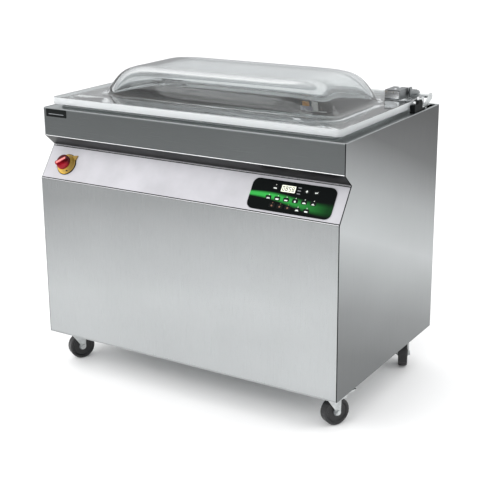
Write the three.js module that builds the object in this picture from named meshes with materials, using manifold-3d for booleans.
// Floor-standing chamber vacuum packing machine, built as separate sheet-metal, cast, moulded
// and turned pieces. Millimetres, +X to the right of the machine, +Y to the rear, +Z up.
// Depths are laid out from the lower front face and shifted to the middle at the very end.
import * as THREE from 'three';
import { mergeVertices, toCreasedNormals } from 'three/addons/utils/BufferGeometryUtils.js';
import Module from 'manifold-3d';

const wasm = await Module();
wasm.setup();

// ---- overall sizes ----
const WIDTH = 1000;
const DEPTH = 640;
const MID_DEPTH = 320; // half-way between the knob's front and the cable gland's end
const FLOOR_GAP = 110; // cabinet bottom above the floor
const SHEET = 2; // folded sheet thickness
const GAP = 0.3; // assembly gap between neighbouring pieces
const HALF = WIDTH / 2;
const INNER = HALF - SHEET - GAP; // half width between the side sheets

// ---- front profile, as depth and height ----
const FASCIA_FOOT = [0, 603];
const NOTCH = [66, 695];
const APRON_FOOT = [28, 728];
const DECK_TOP = 813;
const DECK_UNDER = DECK_TOP - SHEET;

// ---- chamber ----
const TUB = { x: 445, front: 86, rear: 560, wall: 4, floor: 640, corner: 26 };
const RIM = { x: 456, front: 52, rear: 578, corner: 14, top: 819 };
const GASKET_TOP = 822.7;
const SUCTION = { x: -150, y: 330, inner: 20, outer: 25, low: 600 };

// ---- clear lid ----
const LID = { x: 478, front: 40, rear: 590, corner: 16, under: 823, top: 844 };
const DOME = { a: 408, b: 184, y: 323, height: 84, edge: 13.8, flare: 3, square: 7.6, inset: 8, wall: 12 };
const DOME_RINGS = [0.5, 0.7, 0.775, 0.83, 0.875, 0.915, 0.955, 1];
const DOME_SEGMENTS = 52;

// ---- hinge line ----
const HINGE = { y: 616, z: 838, shaft: 6, bore: 6.1, knuckle: 15 };
const ARM = { inner: 396, outer: 442, front: 481, back: 545, top: 872 };
const LEVER = { inner: 479, outer: 483, length: 60, dip: 30 };
const SPRING = { x: 488.5, y: 560, eyeZ: 808, rod: 4, bore: 4.4, tube: 8 };

// ---- sealing bar ----
const BAR = { x: 440, front: 100, rear: 126, low: 756, top: 790, pinX: 300, pin: 6 };

// ---- fascia controls, measured in the fascia's own plane from its lower edge ----
const SWITCH = { u: -424, v: 53 };
const PANEL = { left: 215, right: 467, low: 11, high: 99, corner: 18, thick: 2 };
const KEY = { width: 17, height: 11, corner: 2.5, low: 0.9, high: 2.5, gap: 0.2 };
const KEY_CENTRES = [
  [286, 78], [381, 79], [409, 79],
  [274, 48], [301, 48], [328, 48], [355, 48], [382, 48], [409, 48],
  [291, 27], [315, 27], [339, 27], [368, 25.5], [395, 25.5],
];

// ---- casters: swivel axis and the heading the wheel trails towards, degrees from the rear ----
const CASTERS = [
  { name: 'front_left', x: -466, y: 67, heading: 30, brake: true },
  { name: 'front_right', x: 438, y: 67, heading: 30, brake: true },
  { name: 'rear_left', x: -466, y: 573, heading: 20, brake: false },
  { name: 'rear_right', x: 440, y: 573, heading: 156, brake: false },
];
const WHEEL = { trail: 24, radius: 40, half: 14, hub: 15, bore: 4.1, axle: 4 };
const FORK = { inner: 15.5, outer: 18, crown: 93, head: 97, pin: 6, pinBore: 6.1 };
const BRAKE = { s: 46, z: 86, pin: 3, bore: 3.1, ring: 6, half: 14.5 };

// ---- colours ----
const COLOURS = {
  steel: 0xb9bdbf, dark: 0x6a6f70, fascia: 0xdcdbe0, zinc: 0x9ea3a4, black: 0x17181a,
  yellow: 0xd9b21c, red: 0xb3161b, clear: 0xdfe8ea, rubber: 0x222222, cast: 0x596066,
  green: 0x2d5a3c, grey: 0x8c9092, white: 0xe8e8e4, copper: 0xa8714a,
};

// ---- geometry helpers ----
const AXES = {
  x: new THREE.Matrix4().makeBasis(
    new THREE.Vector3(0, 1, 0), new THREE.Vector3(0, 0, 1), new THREE.Vector3(1, 0, 0)),
  y: new THREE.Matrix4().makeBasis(
    new THREE.Vector3(0, 0, 1), new THREE.Vector3(1, 0, 0), new THREE.Vector3(0, 1, 0)),
  z: new THREE.Matrix4(),
};

function signedVolume(positions, index) {
  let sum = 0;
  const p = (i) => new THREE.Vector3(positions[3 * i], positions[3 * i + 1], positions[3 * i + 2]);
  for (let i = 0; i < index.length; i += 3) {
    sum += p(index[i]).dot(p(index[i + 1]).cross(p(index[i + 2])));
  }
  return sum / 6;
}

// a closed three.js geometry as a manifold solid, turned the right way out
function solid(geometry) {
  geometry.deleteAttribute('normal');
  geometry.deleteAttribute('uv');
  const merged = mergeVertices(geometry, 1e-4);
  const vertProperties = new Float32Array(merged.attributes.position.array);
  const triVerts = new Uint32Array(merged.index.array);
  if (signedVolume(vertProperties, triVerts) < 0) {
    for (let i = 0; i < triVerts.length; i += 3) {
      [triVerts[i + 1], triVerts[i + 2]] = [triVerts[i + 2], triVerts[i + 1]];
    }
  }
  return new wasm.Manifold(new wasm.Mesh({ numProp: 3, vertProperties, triVerts }));
}

const join = (first, ...rest) => rest.reduce((whole, piece) => whole.add(piece), first);
const cut = (first, ...rest) => rest.reduce((whole, piece) => whole.subtract(piece), first);

// a flat outline pushed along an axis; points are [y, z] for x, [x, z] for y and [x, y] for z
function push(axis, outline, from, to, frame) {
  const turned = axis === 'y' ? outline.map(([x, z]) => [z, x]) : outline;
  const shape = new THREE.Shape(turned.map(([a, b]) => new THREE.Vector2(a, b)));
  const geometry = new THREE.ExtrudeGeometry(shape, { depth: to - from, bevelEnabled: false });
  geometry.translate(0, 0, from);
  geometry.applyMatrix4(AXES[axis]);
  if (frame) geometry.applyMatrix4(frame);
  return solid(geometry);
}

function circle(a, b, radius, segments = 24) {
  return Array.from({ length: segments }, (_, i) => {
    const angle = (2 * Math.PI * i) / segments;
    return [a + radius * Math.cos(angle), b + radius * Math.sin(angle)];
  });
}

function rectangle(a0, a1, b0, b1) {
  return [[a0, b0], [a1, b0], [a1, b1], [a0, b1]];
}

function roundedRectangle(a0, a1, b0, b1, radius, steps = 5) {
  const corners = [[a1 - radius, b1 - radius], [a0 + radius, b1 - radius],
    [a0 + radius, b0 + radius], [a1 - radius, b0 + radius]];
  return corners.flatMap(([a, b], corner) => Array.from({ length: steps + 1 }, (_, i) => {
    const angle = (Math.PI / 2) * (corner + i / steps);
    return [a + radius * Math.cos(angle), b + radius * Math.sin(angle)];
  }));
}

const block = (x0, x1, y0, y1, z0, z1, frame) => push('z', rectangle(x0, x1, y0, y1), z0, z1, frame);

// a profile of [radius, height] turned about the Y axis, or about Z when upright is set
function turn(profile, segments, upright, frame) {
  const points = profile.map(([radius, height]) => new THREE.Vector2(radius, height));
  const geometry = new THREE.LatheGeometry(points, segments);
  if (upright) geometry.rotateX(Math.PI / 2);
  if (frame) geometry.applyMatrix4(frame);
  return solid(geometry);
}

function mirrored(outlinePoints) {
  return outlinePoints.map(([a, b]) => [-a, b]);
}

// ---- frames for tilted and swivelled pieces ----
const SLOPE = new THREE.Vector2(NOTCH[0] - FASCIA_FOOT[0], NOTCH[1] - FASCIA_FOOT[1]);
const SLOPE_LENGTH = SLOPE.length();
const UP_SLOPE = SLOPE.clone().normalize();
const FASCIA_FRAME = new THREE.Matrix4().makeBasis(
  new THREE.Vector3(1, 0, 0),
  new THREE.Vector3(0, UP_SLOPE.x, UP_SLOPE.y),
  new THREE.Vector3(0, -UP_SLOPE.y, UP_SLOPE.x),
).setPosition(0, FASCIA_FOOT[0], FASCIA_FOOT[1]);

// caster frame: first axis along the trail, second across the wheel, third up
function casterFrame({ x, y, heading }) {
  const angle = THREE.MathUtils.degToRad(heading);
  return new THREE.Matrix4().makeBasis(
    new THREE.Vector3(Math.sin(angle), Math.cos(angle), 0),
    new THREE.Vector3(-Math.cos(angle), Math.sin(angle), 0),
    new THREE.Vector3(0, 0, 1),
  ).setPosition(x, y, 0);
}

// ---- assembly ----
const machine = new THREE.Group();
machine.name = 'vacuum_packing_machine';

function place(name, piece, colour) {
  const bodies = piece.decompose().length;
  if (bodies !== 1) throw new Error(`${name} has ${bodies} bodies`);
  const { vertProperties, triVerts } = piece.getMesh();
  const geometry = new THREE.BufferGeometry();
  geometry.setAttribute('position', new THREE.Float32BufferAttribute(vertProperties, 3));
  geometry.setIndex(Array.from(triVerts));
  const clear = colour === 'clear';
  const material = new THREE.MeshStandardMaterial({
    color: COLOURS[colour], transparent: clear, opacity: clear ? 0.35 : 1,
  });
  const mesh = new THREE.Mesh(toCreasedNormals(geometry, 0.55), material);
  mesh.name = name;
  mesh.position.y = -MID_DEPTH;
  machine.add(mesh);
}

// ---- cabinet sheets ----
function baseTray() {
  const lip = 27;
  const front = 20 + GAP;
  const rear = DEPTH - SHEET - 2 * GAP;
  const tray = block(-INNER, INNER, front, rear, FLOOR_GAP, FLOOR_GAP + lip);
  const hollow = block(-INNER + SHEET, INNER - SHEET, front + SHEET, rear - SHEET,
    FLOOR_GAP + SHEET, FLOOR_GAP + lip + 1);
  return cut(tray, hollow);
}

function sidePanel(side) {
  const outline = [[0, FLOOR_GAP], [DEPTH, FLOOR_GAP], [DEPTH, DECK_UNDER - GAP],
    [APRON_FOOT[0], DECK_UNDER - GAP], APRON_FOOT, NOTCH, FASCIA_FOOT];
  const edges = [side * (HALF - SHEET), side * HALF].sort((a, b) => a - b);
  return push('x', outline, edges[0], edges[1]);
}

function frontPanel() {
  const top = FASCIA_FOOT[1] - GAP;
  const flange = 20;
  const sheet = block(-INNER, INNER, 0, flange, FLOOR_GAP, top);
  const hollow = block(-INNER + SHEET, INNER - SHEET, SHEET, flange + 1,
    FLOOR_GAP + SHEET, top - SHEET);
  return cut(sheet, hollow);
}

function controlFascia() {
  const flange = 15;
  const low = [FASCIA_FOOT[0] + GAP, FASCIA_FOOT[1] + GAP];
  const high = [NOTCH[0] - GAP, NOTCH[1] - GAP];
  const inward = SHEET / UP_SLOPE.y;
  const sheet = [low, high, [high[0] + flange, high[1]], [high[0] + flange, high[1] - SHEET],
    [high[0] + inward - UP_SLOPE.x * SHEET, high[1] - SHEET],
    [low[0] + inward + UP_SLOPE.x * SHEET, low[1] + SHEET],
    [low[0] + flange, low[1] + SHEET], [low[0] + flange, low[1]]];
  const hole = push('z', circle(SWITCH.u, SWITCH.v, 11.4), -12, 12, FASCIA_FRAME);
  return cut(push('x', sheet, -INNER, INNER), hole);
}

function topDeck() {
  const plate = block(-HALF, HALF, APRON_FOOT[0], DEPTH, DECK_UNDER, DECK_TOP);
  const [footY, footZ] = APRON_FOOT;
  const [endY, endZ] = [NOTCH[0] - GAP, NOTCH[1] + 2 * GAP];
  const fold = [[footY, DECK_TOP - 1], [footY, footZ], [endY, endZ], [endY, endZ + 2.65],
    [footY + SHEET, footZ + 0.95], [footY + SHEET, DECK_TOP - 1]];
  const apron = push('x', fold, -INNER, INNER);
  const opening = push('z', roundedRectangle(-TUB.x - TUB.wall - GAP, TUB.x + TUB.wall + GAP,
    TUB.front - TUB.wall - GAP, TUB.rear + TUB.wall + GAP, TUB.corner + TUB.wall), 800, 820);
  const slots = [-1, 1].map((side) => {
    const [left, right] = [side * (LEVER.inner - 0.6), side * 494.5].sort((a, b) => a - b);
    return push('z', roundedRectangle(left, right, 546, 628, 3, 2), 800, 820);
  });
  return cut(join(plate, apron), opening, ...slots);
}

function rearPanel() {
  const sheet = block(-INNER, INNER, DEPTH - SHEET - GAP, DEPTH - GAP,
    FLOOR_GAP + GAP, DECK_UNDER - GAP);
  const slots = [];
  for (const column of [-250, 0, 250]) {
    for (let row = 0; row < 6; row += 1) {
      const z = 230 + 24 * row;
      slots.push(block(column - 70, column + 70, DEPTH - 10, DEPTH + 10, z, z + 8));
    }
  }
  const cableHole = push('y', circle(-380, 170, 10), DEPTH - 10, DEPTH + 10);
  return cut(sheet, ...slots, cableHole);
}

// ---- chamber ----
function chamberTub() {
  const { x, front, rear, wall, floor, corner } = TUB;
  const shell = push('z', roundedRectangle(-x - wall, x + wall, front - wall, rear + wall,
    corner + wall), floor - wall, RIM.top);
  const rim = push('z', roundedRectangle(-RIM.x, RIM.x, RIM.front, RIM.rear, RIM.corner),
    DECK_TOP + GAP, RIM.top);
  const pipe = push('z', circle(SUCTION.x, SUCTION.y, SUCTION.outer), SUCTION.low, floor - 1);
  const hollow = push('z', roundedRectangle(-x, x, front, rear, corner), floor, RIM.top + 1);
  const bore = push('z', circle(SUCTION.x, SUCTION.y, SUCTION.inner), SUCTION.low - 1, floor + 1);
  return cut(join(shell, rim, pipe), hollow, bore);
}

function chamberGasket() {
  const ring = (inset, low, high) => push('z', roundedRectangle(-RIM.x + inset, RIM.x - inset,
    RIM.front + inset, RIM.rear - inset, RIM.corner), low, high);
  return cut(ring(1.5, RIM.top + GAP, GASKET_TOP), ring(9.5, RIM.top, GASKET_TOP + 1));
}

function sealLift() {
  const middle = (BAR.front + BAR.rear) / 2;
  const low = TUB.floor + GAP;
  const rail = block(-BAR.pinX - 30, BAR.pinX + 30, middle - 12, middle + 12, low, low + 8);
  const cups = [-1, 1].map((side) => push('z', circle(side * BAR.pinX, middle, 14), low, 740));
  const bores = [-1, 1].map((side) => push('z', circle(side * BAR.pinX, middle, BAR.pin + 0.2),
    690, 741));
  return cut(join(rail, ...cups), ...bores);
}

function sealBar() {
  const { front, rear, low, top } = BAR;
  const profile = [[front, low], [rear, low], [rear, top - 6], [rear - 6, top],
    [front + 6, top], [front, top - 6]];
  const pins = [-1, 1].map((side) => push('z',
    circle(side * BAR.pinX, (front + rear) / 2, BAR.pin), 700, low + 1));
  return join(push('x', profile, -BAR.x, BAR.x), ...pins);
}

function counterBar() {
  const top = LID.under - GAP;
  const middle = (BAR.front + BAR.rear) / 2;
  const profile = [[middle - 12, top], [middle - 12, top - 9], [middle - 7, top - 9],
    [middle - 7, top - 16], [middle - 5, top - 18.4], [middle + 5, top - 18.4],
    [middle + 7, top - 16], [middle + 7, top - 9], [middle + 12, top - 9], [middle + 12, top]];
  return push('x', profile, -BAR.x - 1, BAR.x + 1);
}

// ---- machinery inside the cabinet ----
function vacuumPump() {
  const floor = FLOOR_GAP + SHEET + GAP;
  const feet = [[-320, 205], [-320, 365], [-90, 205], [-90, 365]]
    .map(([x, y]) => push('z', circle(x + 10, y + 10, 14, 20), floor, 141));
  const body = push('x', roundedRectangle(190, 400, 140, 320, 24, 4), -330, -60);
  const fins = Array.from({ length: 7 }, (_, i) => block(-310 + 34 * i, -304 + 34 * i,
    196, 394, 315, 334));
  const exhaust = push('y', circle(-270, 250, 58), 330, 440);
  const inlet = push('z', circle(-120, 300, 22), 310, 372);
  return join(body, ...feet, ...fins, exhaust, inlet);
}

function pumpMotor() {
  const floor = FLOOR_GAP + SHEET + GAP;
  const barrel = push('x', circle(295, 235, 84, 40), -60 + GAP, 190);
  const cowl = push('x', circle(295, 235, 92, 40), 150, 205);
  const foot = block(-10, 110, 235, 355, floor, 165);
  const terminals = block(10, 90, 262, 328, 300, 352);
  return join(barrel, cowl, foot, terminals);
}

function valveBlock() {
  const body = block(SUCTION.x - 42, SUCTION.x + 42, SUCTION.y - 34, SUCTION.y + 34, 520,
    SUCTION.low - GAP);
  const coil = push('x', circle(SUCTION.y, 560, 22), SUCTION.x + 40, SUCTION.x + 96);
  const port = push('z', circle(SUCTION.x, SUCTION.y, 21), 490, 525);
  return join(body, coil, port);
}

function sealingTransformer() {
  const floor = FLOOR_GAP + SHEET + GAP;
  const core = block(285, 395, 440, 500, floor, 210);
  const coil = push('x', roundedRectangle(418, 522, 128, 194, 12, 3), 305, 375);
  return join(core, coil);
}

function electronicsBox() {
  const box = block(215, 475, 28, 76, 480, 590);
  const plugs = [250, 300, 350, 400].map((x) => block(x, x + 30, 75, 84, 500, 514));
  return join(box, ...plugs);
}

// ---- controls on the fascia ----
function switchCollar() {
  const frame = FASCIA_FRAME.clone().multiply(
    new THREE.Matrix4().makeTranslation(SWITCH.u, SWITCH.v, 0));
  const collar = turn([[0, -14], [11, -14], [11, GAP], [31, GAP], [31, 3], [29, 4], [25.5, 15],
    [24.5, 16], [5.1, 16], [5.1, 5], [0, 5]], 40, true, frame);
  const lug = push('z', [[8, 8], [29, 17], [31, 31], [17, 29]], GAP, 4, frame);
  const contacts = block(-20, 20, -18, 18, -42, -13, frame);
  return join(collar, lug, contacts);
}

function switchKnob() {
  const frame = FASCIA_FRAME.clone().multiply(
    new THREE.Matrix4().makeTranslation(SWITCH.u, SWITCH.v, 0));
  const disc = turn([[0, 7], [5, 7], [5, 16 + GAP], [22, 16 + GAP], [22.5, 18], [22, 24],
    [20, 26], [0, 26]], 40, true, frame);
  const tilt = new THREE.Matrix4().makeRotationZ(Math.PI / 5);
  const grip = push('z', roundedRectangle(-20, 20, -5.5, 5.5, 3, 3), 25, 34,
    frame.clone().multiply(tilt));
  return join(disc, grip);
}

function keyOutline([u, v], grow) {
  return roundedRectangle(u - KEY.width / 2 - grow, u + KEY.width / 2 + grow,
    v - KEY.height / 2 - grow, v + KEY.height / 2 + grow, KEY.corner + grow, 3);
}

function membranePanel() {
  const sheet = push('z', roundedRectangle(PANEL.left, PANEL.right, PANEL.low, PANEL.high,
    PANEL.corner), GAP, GAP + PANEL.thick, FASCIA_FRAME);
  const windows = KEY_CENTRES.map((centre) => push('z', keyOutline(centre, KEY.gap), -1, 5,
    FASCIA_FRAME));
  return cut(sheet, ...windows);
}

const membraneKey = (centre) => push('z', keyOutline(centre, 0), KEY.low, KEY.high, FASCIA_FRAME);

function cableGland() {
  const frame = new THREE.Matrix4().makeTranslation(-380, 0, 170);
  const panel = DEPTH - SHEET - GAP;
  return turn([[5, panel - 12], [13, panel - 12], [13, panel - GAP], [9.7, panel - GAP],
    [9.7, DEPTH], [15, DEPTH], [15, DEPTH + 4], [12, DEPTH + 5.5], [5, DEPTH + 5.5],
    [5, panel - 12]], 30, false, frame);
}

// ---- lid ----
// how far the dome's base line lies from its middle in a given direction
function domeReach(angle, inset) {
  const along = Math.abs(Math.cos(angle)) / (DOME.a - inset);
  const across = Math.abs(Math.sin(angle)) / (DOME.b - inset);
  return (along ** DOME.square + across ** DOME.square) ** (-1 / DOME.square);
}

function domeHeight(radius, height) {
  return height * Math.max(0, 1 - radius ** DOME.edge) ** DOME.flare;
}

// directions from the dome's middle: even along the dome, with extra ones at the lid's corners
function lidDirections() {
  const power = 2 / DOME.square;
  const stretch = (value) => Math.sign(value) * Math.abs(value) ** power;
  const even = Array.from({ length: DOME_SEGMENTS }, (_, i) => {
    const angle = (2 * Math.PI * (i + 0.5)) / DOME_SEGMENTS;
    return Math.atan2(DOME.b * stretch(Math.sin(angle)), DOME.a * stretch(Math.cos(angle)));
  });
  const corners = roundedRectangle(-LID.x, LID.x, LID.front, LID.rear, LID.corner, 4)
    .map(([x, y]) => Math.atan2(y - DOME.y, x));
  const sorted = [...even, ...corners].sort((a, b) => a - b);
  return sorted.filter((angle, i) => i === 0 || angle - sorted[i - 1] > 1e-4);
}

// where a ray from the dome's middle leaves the lid's rounded rectangle
function lidReach(angle) {
  const midY = (LID.front + LID.rear) / 2;
  const halfY = (LID.rear - LID.front) / 2;
  const inside = (reach) => {
    const x = Math.abs(reach * Math.cos(angle)) - LID.x + LID.corner;
    const y = Math.abs(DOME.y + reach * Math.sin(angle) - midY) - halfY + LID.corner;
    return Math.hypot(Math.max(x, 0), Math.max(y, 0)) < LID.corner;
  };
  let [low, high] = [100, 800];
  for (let i = 0; i < 40; i += 1) {
    const middle = (low + high) / 2;
    if (inside(middle)) low = middle;
    else high = middle;
  }
  return low;
}

function lidDome() {
  const positions = [];
  const index = [];
  const angles = lidDirections();
  const count = angles.length;
  const corner = (angle, reach, z) => positions.push(
    reach * Math.cos(angle), DOME.y + reach * Math.sin(angle), z);
  const skin = (inset, base, height) => {
    const start = positions.length / 3;
    positions.push(0, DOME.y, base + height);
    for (const radius of DOME_RINGS) {
      const z = base + domeHeight(radius, height);
      for (const angle of angles) corner(angle, radius * domeReach(angle, inset), z);
    }
    for (const angle of angles) corner(angle, lidReach(angle), base);
    return start;
  };
  const top = skin(0, LID.top, DOME.height);
  const under = skin(DOME.inset, LID.under, DOME.height + LID.top - LID.under - DOME.wall);
  const rings = DOME_RINGS.length + 1;
  const cell = (start, ring, k) => start + 1 + ring * count + (k % count);
  for (let k = 0; k < count; k += 1) {
    index.push(top, cell(top, 0, k), cell(top, 0, k + 1));
    index.push(under, cell(under, 0, k + 1), cell(under, 0, k));
    for (let ring = 0; ring < rings - 1; ring += 1) {
      index.push(cell(top, ring, k), cell(top, ring + 1, k), cell(top, ring + 1, k + 1));
      index.push(cell(top, ring, k), cell(top, ring + 1, k + 1), cell(top, ring, k + 1));
      index.push(cell(under, ring, k), cell(under, ring + 1, k + 1), cell(under, ring + 1, k));
      index.push(cell(under, ring, k), cell(under, ring, k + 1), cell(under, ring + 1, k + 1));
    }
    const last = rings - 1;
    index.push(cell(top, last, k), cell(under, last, k), cell(under, last, k + 1));
    index.push(cell(top, last, k), cell(under, last, k + 1), cell(top, last, k + 1));
  }
  const geometry = new THREE.BufferGeometry();
  geometry.setAttribute('position', new THREE.Float32BufferAttribute(positions, 3));
  geometry.setIndex(index);
  return solid(geometry);
}

// ---- lid hinge and gas springs ----
function hingeBase(side) {
  const edges = [side * 369, side * 393].sort((a, b) => a - b);
  const foot = push('x', [[598, DECK_TOP + GAP], [634, DECK_TOP + GAP], [634, DECK_TOP + 5],
    [HINGE.y + 13, HINGE.z], [HINGE.y - 13, HINGE.z], [598, DECK_TOP + 5]], ...edges);
  const eye = push('x', circle(HINGE.y, HINGE.z, 13), ...edges);
  const bore = push('x', circle(HINGE.y, HINGE.z, HINGE.bore, 48), -HALF, HALF);
  return cut(join(foot, eye), bore);
}

function hingeArm(side) {
  const edges = [side * ARM.inner, side * ARM.outer].sort((a, b) => a - b);
  const low = LID.top + GAP;
  const plate = push('x', [[ARM.front, low], [ARM.front, ARM.top], [ARM.back, ARM.top],
    [ARM.back + 8, 857], [606, 857], [616, 853], [616, 830], [603, 830], [601, low]], ...edges);
  const knuckle = push('x', circle(HINGE.y, HINGE.z, HINGE.knuckle), ...edges);
  const outside = [side * ARM.outer, side * (ARM.outer + 5)].sort((a, b) => a - b);
  const pin = push('x', circle(546, 858, 4, 20), outside[0] - 1, outside[1] + 1);
  const ear = push('x', roundedRectangle(538, 552, 847, 874, 3, 2),
    ...[side * (ARM.outer + 4), side * (ARM.outer + 8)].sort((a, b) => a - b));
  const bore = push('x', circle(HINGE.y, HINGE.z, HINGE.bore, 48), -HALF, HALF);
  return cut(join(plate, knuckle, pin, ear), bore);
}

function hingeShaft() {
  const shaft = push('x', circle(HINGE.y, HINGE.z, HINGE.shaft, 48), -LEVER.outer, LEVER.outer);
  const dip = THREE.MathUtils.degToRad(LEVER.dip);
  const along = [-Math.cos(dip), -Math.sin(dip)];
  const across = [Math.sin(dip), -Math.cos(dip)];
  const at = (s, t) => [HINGE.y + along[0] * s + across[0] * t,
    HINGE.z + along[1] * s + across[1] * t];
  const levers = [-1, 1].flatMap((side) => {
    const edges = [side * LEVER.inner, side * LEVER.outer].sort((a, b) => a - b);
    return [push('x', [at(0, -10), at(LEVER.length, -7), at(LEVER.length, 7), at(0, 10)], ...edges),
      push('x', circle(HINGE.y, HINGE.z, 11), ...edges),
      push('x', circle(...at(LEVER.length, 0), 7, 20), ...edges)];
  });
  const holes = push('x', circle(...at(LEVER.length, 0), 3.2, 20), -HALF, HALF);
  return cut(join(shaft, ...levers), holes);
}

function gasSpringCylinder(side) {
  const tube = push('z', circle(side * SPRING.x, SPRING.y, SPRING.tube), 430, 742);
  const bore = push('z', circle(side * SPRING.x, SPRING.y, SPRING.bore), 470, 743);
  const edges = [side * (SPRING.x + 2), side * (HALF - SHEET - GAP)].sort((a, b) => a - b);
  const bracket = block(...edges, SPRING.y - 22, SPRING.y + 22, 436, 462);
  return cut(join(tube, bracket), bore);
}

function gasSpringRod(side) {
  const x = side * SPRING.x;
  const rod = push('z', circle(x, SPRING.y, SPRING.rod), 480, SPRING.eyeZ - 4);
  const edges = [x - 3.2, x + 3.2];
  const eye = push('x', circle(SPRING.y, SPRING.eyeZ, 8, 24), ...edges);
  const hole = push('x', circle(SPRING.y, SPRING.eyeZ, 3.6, 20), edges[0] - 2, edges[1] + 2);
  return cut(join(rod, eye), hole);
}

function lidSwitch() {
  const body = push('x', [[468, DECK_TOP + GAP], [524, DECK_TOP + GAP], [524, 838],
    [516, 846], [498, 846], [490, 836], [468, 836]], 481, 496);
  const foot = block(481, 496, 520, 543, DECK_TOP + GAP, DECK_TOP + 8);
  return join(body, foot);
}

// ---- casters ----
function casterPlate(caster) {
  const { x, y } = caster;
  const plate = push('z', roundedRectangle(x - 30, x + 30, y - 30, y + 30, 5, 3), 107,
    FLOOR_GAP - GAP);
  const race = push('z', circle(x, y, 24), 103.5, 107.5);
  return cut(join(plate, race), push('z', circle(x, y, FORK.pinBore, 40), 100, 112));
}

function casterFork(caster) {
  const frame = casterFrame(caster);
  const hub = WHEEL.trail;
  const leg = [[-14, FORK.head], [-14, 90], [hub - 8.5, 47], [hub - 8.5, 37], [hub - 5, 32],
    [hub, 30.5], [hub + 5, 32], [hub + 8.5, 37], [hub + 9, 50], [hub + 10, 76], [53, 80],
    [53, FORK.head - 1], [40, FORK.head]];
  const legs = [-1, 1].map((side) => push('y', leg,
    ...[side * FORK.inner, side * FORK.outer].sort((a, b) => a - b), frame));
  const crown = block(-14, 38, -FORK.outer, FORK.outer, FORK.crown, FORK.head, frame);
  const head = push('z', circle(0, 0, 23), FORK.crown, 103.2, frame);
  const pin = push('z', circle(0, 0, FORK.pin, 40), 102, FLOOR_GAP - 1, frame);
  const axle = push('y', circle(hub, 40, WHEEL.axle, 32), -21, 21, frame);
  const nuts = [-1, 1].map((side) => push('y', circle(hub, 40, 7, 6),
    ...[side * (FORK.outer - 0.5), side * 22].sort((a, b) => a - b), frame));
  const pivot = caster.brake
    ? [push('y', circle(BRAKE.s, BRAKE.z, BRAKE.pin, 24), -FORK.outer, FORK.outer, frame)] : [];
  return join(crown, head, pin, ...legs, axle, ...nuts, ...pivot);
}

function casterWheel(caster) {
  const frame = casterFrame(caster).multiply(
    new THREE.Matrix4().makeTranslation(WHEEL.trail, 0, WHEEL.radius));
  const { radius, half, hub, bore } = WHEEL;
  return turn([[bore, -hub], [10, -hub], [13, -10], [29, -10], [32, -half], [37, -half],
    [radius, 3 - half], [radius, half - 3], [37, half], [32, half], [29, 10], [13, 10],
    [10, hub], [bore, hub], [bore, -hub]], 28, false, frame);
}

function brakePedal(caster) {
  const frame = casterFrame(caster);
  const { s, z, half } = BRAKE;
  const ring = push('y', circle(s, z, BRAKE.ring, 24), -half, half, frame);
  const lever = push('y', [[s, z + 2], [s + 10, z + 1], [s + 36, z + 6], [s + 38, z + 9],
    [s + 34, z + 10], [s + 8, z + 6], [s, z + 6]], -half, half, frame);
  const bore = push('y', circle(s, z, BRAKE.bore, 24), -half - 1, half + 1, frame);
  return cut(join(ring, lever), bore);
}

// ---- put the machine together ----
place('base_tray', baseTray(), 'steel');
place('side_panel_left', sidePanel(-1), 'steel');
place('side_panel_right', sidePanel(1), 'steel');
place('front_panel', frontPanel(), 'steel');
place('control_fascia', controlFascia(), 'fascia');
place('top_deck', topDeck(), 'dark');
place('rear_panel', rearPanel(), 'steel');
place('chamber_tub', chamberTub(), 'steel');
place('chamber_gasket', chamberGasket(), 'rubber');
place('seal_lift', sealLift(), 'zinc');
place('seal_bar', sealBar(), 'grey');
place('counter_bar', counterBar(), 'white');
place('vacuum_pump', vacuumPump(), 'cast');
place('pump_motor', pumpMotor(), 'grey');
place('valve_block', valveBlock(), 'zinc');
place('sealing_transformer', sealingTransformer(), 'copper');
place('electronics_box', electronicsBox(), 'grey');
place('mains_switch_collar', switchCollar(), 'yellow');
place('mains_switch_knob', switchKnob(), 'red');
place('membrane_panel', membranePanel(), 'black');
KEY_CENTRES.forEach((centre, i) => place(`key_${i + 1}`, membraneKey(centre), 'green'));
place('cable_gland', cableGland(), 'black');
place('lid_dome', lidDome(), 'clear');
place('hinge_shaft', hingeShaft(), 'zinc');
place('lid_switch', lidSwitch(), 'black');
for (const [side, word] of [[-1, 'left'], [1, 'right']]) {
  place(`hinge_base_${word}`, hingeBase(side), 'zinc');
  place(`hinge_arm_${word}`, hingeArm(side), 'steel');
  place(`gas_spring_cylinder_${word}`, gasSpringCylinder(side), 'black');
  place(`gas_spring_rod_${word}`, gasSpringRod(side), 'steel');
}
for (const caster of CASTERS) {
  place(`caster_plate_${caster.name}`, casterPlate(caster), 'zinc');
  place(`caster_fork_${caster.name}`, casterFork(caster), 'zinc');
  place(`caster_wheel_${caster.name}`, casterWheel(caster), 'rubber');
  if (caster.brake) place(`brake_pedal_${caster.name}`, brakePedal(caster), 'zinc');
}

export default machine;
